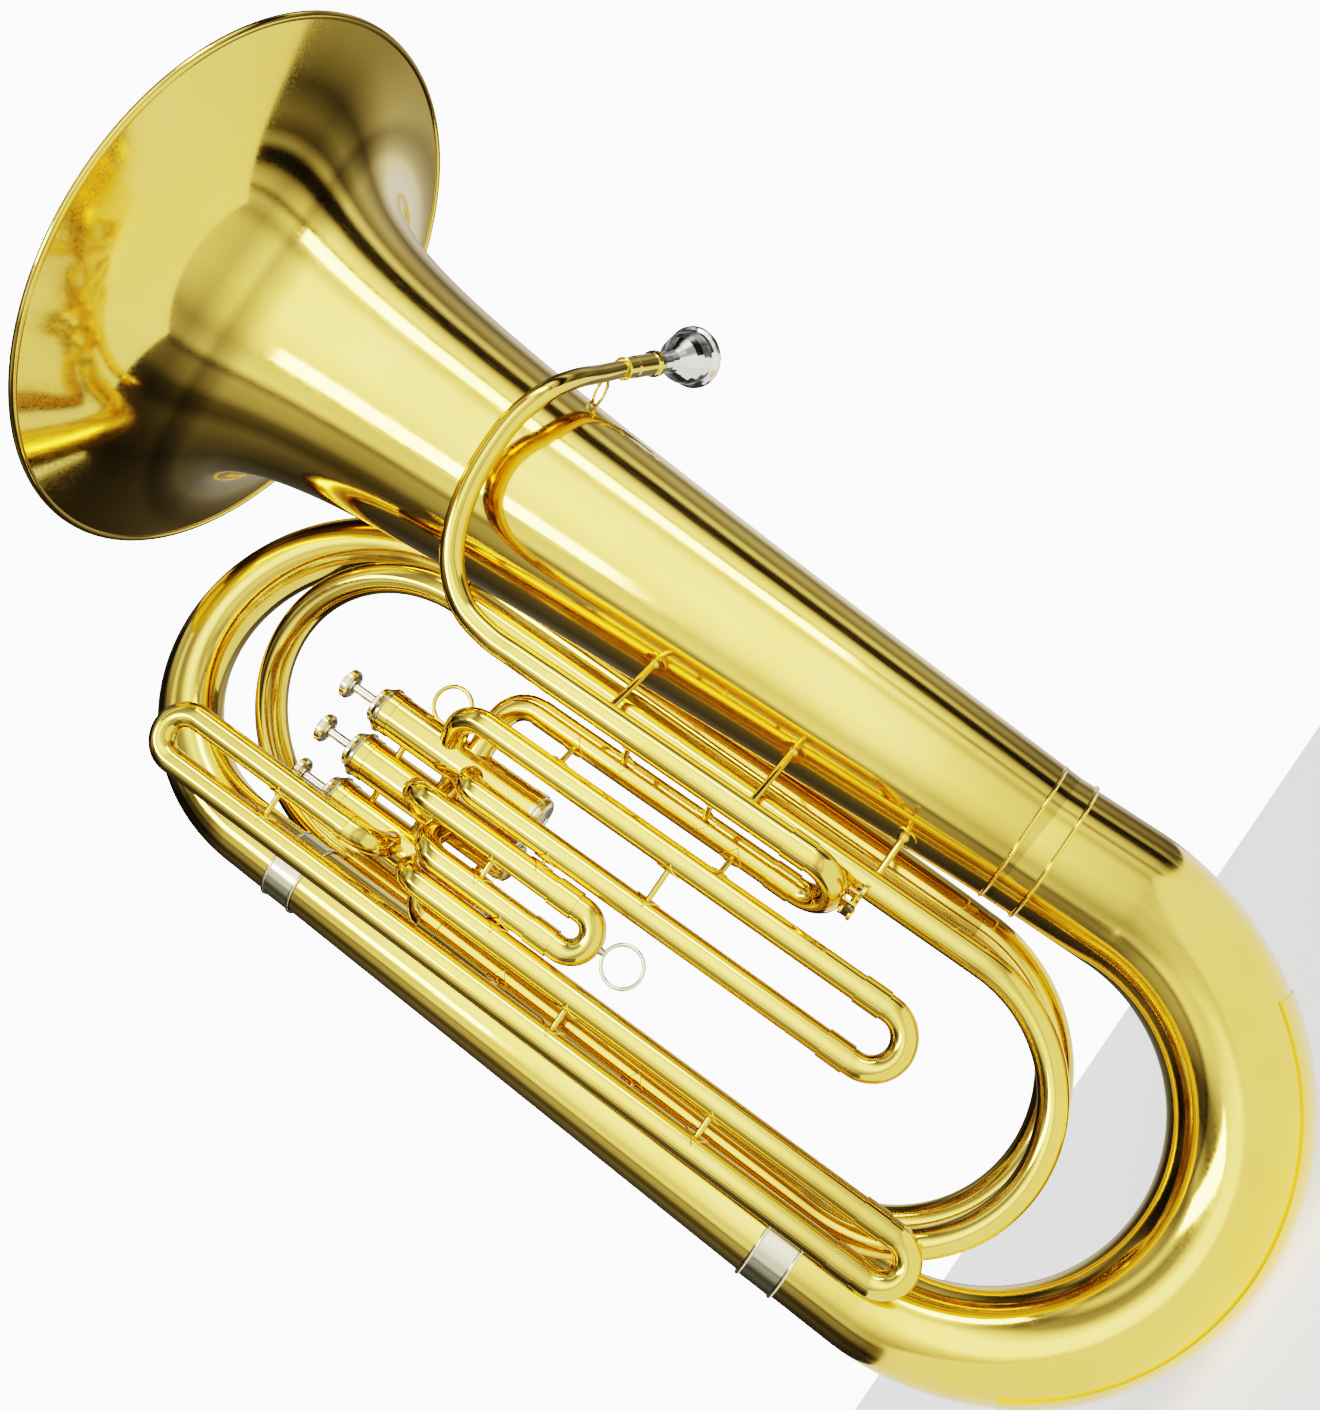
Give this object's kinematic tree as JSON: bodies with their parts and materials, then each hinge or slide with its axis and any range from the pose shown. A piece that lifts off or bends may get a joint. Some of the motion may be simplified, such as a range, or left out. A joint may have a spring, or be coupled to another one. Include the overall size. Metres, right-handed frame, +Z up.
{
  "type": "tuba",
  "caption": "Upright piston tuba in lacquered brass with a wide bell, coiled branches, sprung valves, pull slides, leadpipe and mouthpiece.",
  "frame": {"origin": "lowest point of the bottom bow's guard, midway between the outer branch and the bell", "axes": "+Z up through the bell, +X from the outer branch towards the bell, -Y towards the audience side with the valve slides"},
  "size_m": [0.5231, 0.3938, 0.8815],
  "materials": {
    "lacquered_brass": "polished yellow brass under clear lacquer",
    "nickel_silver": "polished nickel silver",
    "silver_plate": "bright silver plate",
    "spring_steel": "drawn spring wire",
    "felt": "dense black wool felt",
    "cork": "dark cork pad"
  },
  "bodies": {
    "horn": {"bell": "lacquered_brass", "bell_rim": "lacquered_brass", "bell_ferrule": "lacquered_brass", "bottom_bow": "lacquered_brass", "bow_guard": "lacquered_brass", "lower_branch_ferrule": "nickel_silver", "outer_branch": "lacquered_brass", "upper_branch_ferrule": "nickel_silver", "top_bow": "lacquered_brass", "rear_leg_ferrule": "lacquered_brass", "rear_leg": "lacquered_brass", "rear_inner_bow": "lacquered_brass", "rear_left_leg": "lacquered_brass", "inner_top_bow": "lacquered_brass", "front_right_leg": "lacquered_brass", "front_inner_bow": "lacquered_brass", "valve_outlet_tube": "lacquered_brass", "outlet_ferrule": "lacquered_brass", "leadpipe": "lacquered_brass", "mouthpiece_receiver": "lacquered_brass", "tuning_slide_tubes": "lacquered_brass", "valve_inlet_tube": "lacquered_brass", "valve_casing_1": "lacquered_brass", "valve_casing_2": "lacquered_brass", "valve_casing_3": "lacquered_brass", "valve_knuckles": "lacquered_brass", "valve_spring_1": "spring_steel", "valve_spring_2": "spring_steel", "valve_spring_3": "spring_steel", "top_caps": "nickel_silver", "bottom_caps": "nickel_silver", "cap_felts": "felt", "first_slide_tubes": "lacquered_brass", "second_slide_tubes": "lacquered_brass", "third_slide_tubes": "lacquered_brass", "third_slide_loop": "lacquered_brass", "bell_braces": "lacquered_brass", "slide_braces": "lacquered_brass", "loop_braces": "lacquered_brass", "receiver_brace": "lacquered_brass", "thumb_ring": "lacquered_brass"},
    "piston_1_body": {"piston_1": "silver_plate", "button_1": "nickel_silver"},
    "piston_2_body": {"piston_2": "silver_plate", "button_2": "nickel_silver"},
    "piston_3_body": {"piston_3": "silver_plate", "button_3": "nickel_silver"},
    "tuning_slide_body": {"tuning_slide": "lacquered_brass", "water_key_saddle": "lacquered_brass", "water_key_spring": "spring_steel"},
    "water_key_body": {"water_key": "lacquered_brass", "water_key_cork": "cork"},
    "first_slide_body": {"first_slide": "lacquered_brass"},
    "second_slide_body": {"second_slide": "lacquered_brass", "second_slide_pull_ring": "nickel_silver"},
    "third_slide_body": {"third_slide": "lacquered_brass"},
    "mouthpiece_body": {"mouthpiece": "silver_plate"}
  },
  "joints": [
    {"name": "valve_1", "type": "slide", "parent": "horn", "child": "piston_1_body", "axis": [0, 0, -1], "range_m": [0, 0.017], "stiffness_N_per_m": 147, "springref_m": -0.024, "deforming": ["valve_spring_1"]},
    {"name": "valve_2", "type": "slide", "parent": "horn", "child": "piston_2_body", "axis": [0, 0, -1], "range_m": [0, 0.017], "stiffness_N_per_m": 147, "springref_m": -0.024, "deforming": ["valve_spring_2"]},
    {"name": "valve_3", "type": "slide", "parent": "horn", "child": "piston_3_body", "axis": [0, 0, -1], "range_m": [0, 0.017], "stiffness_N_per_m": 147, "springref_m": -0.024, "deforming": ["valve_spring_3"]},
    {"name": "tuning_slide_pull", "type": "slide", "parent": "horn", "child": "tuning_slide_body", "axis": [0, 0, -1], "range_m": [0, 0.06]},
    {"name": "first_slide_pull", "type": "slide", "parent": "horn", "child": "first_slide_body", "axis": [0, 0, -1], "range_m": [0, 0.08]},
    {"name": "second_slide_pull", "type": "slide", "parent": "horn", "child": "second_slide_body", "axis": [0, 0, -1], "range_m": [0, 0.04]},
    {"name": "third_slide_pull", "type": "slide", "parent": "horn", "child": "third_slide_body", "axis": [0, 0, -1], "range_m": [0, 0.1]},
    {"name": "water_key_hinge", "type": "hinge", "parent": "tuning_slide_body", "child": "water_key_body", "pos_m": [0.05164, -0.06072, 0.30413], "axis": [-0.8167, -0.5771, 0], "range_deg": [0, 20], "stiffness_Nm_per_rad": 0.05, "springref_deg": -22.92},
    {"name": "mouthpiece_pull", "type": "slide", "parent": "horn", "child": "mouthpiece_body", "axis": [0.499, 0.8626, -0.083], "range_m": [0, 0.03]}
  ]
}
